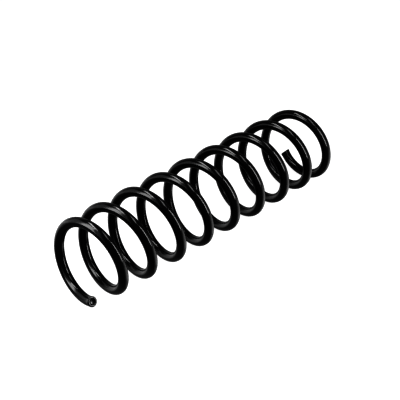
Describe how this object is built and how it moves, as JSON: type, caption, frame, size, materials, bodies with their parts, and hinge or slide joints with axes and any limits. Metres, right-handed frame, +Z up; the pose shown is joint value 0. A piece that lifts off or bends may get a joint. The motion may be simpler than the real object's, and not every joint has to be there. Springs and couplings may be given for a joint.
{
  "type": "helical spring",
  "caption": "Right-hand wound helical compression spring of round black-coated wire, with evenly spaced turns that close up and draw in a little towards plain cut ends.",
  "frame": {"origin": "on the floor, under the coil axis, midway between the two ends; the spring lies on its side", "axes": "+X along the coil axis from the first cut end to the last, +Z up from the floor; the wire winds right-handed about +X"},
  "size_m": [0.4118, 0.107, 0.107],
  "materials": {
    "black_powder_coat": "gloss"
  },
  "bodies": {
    "root": {"coil_spring": "black_powder_coat"}
  },
  "joints": []
}
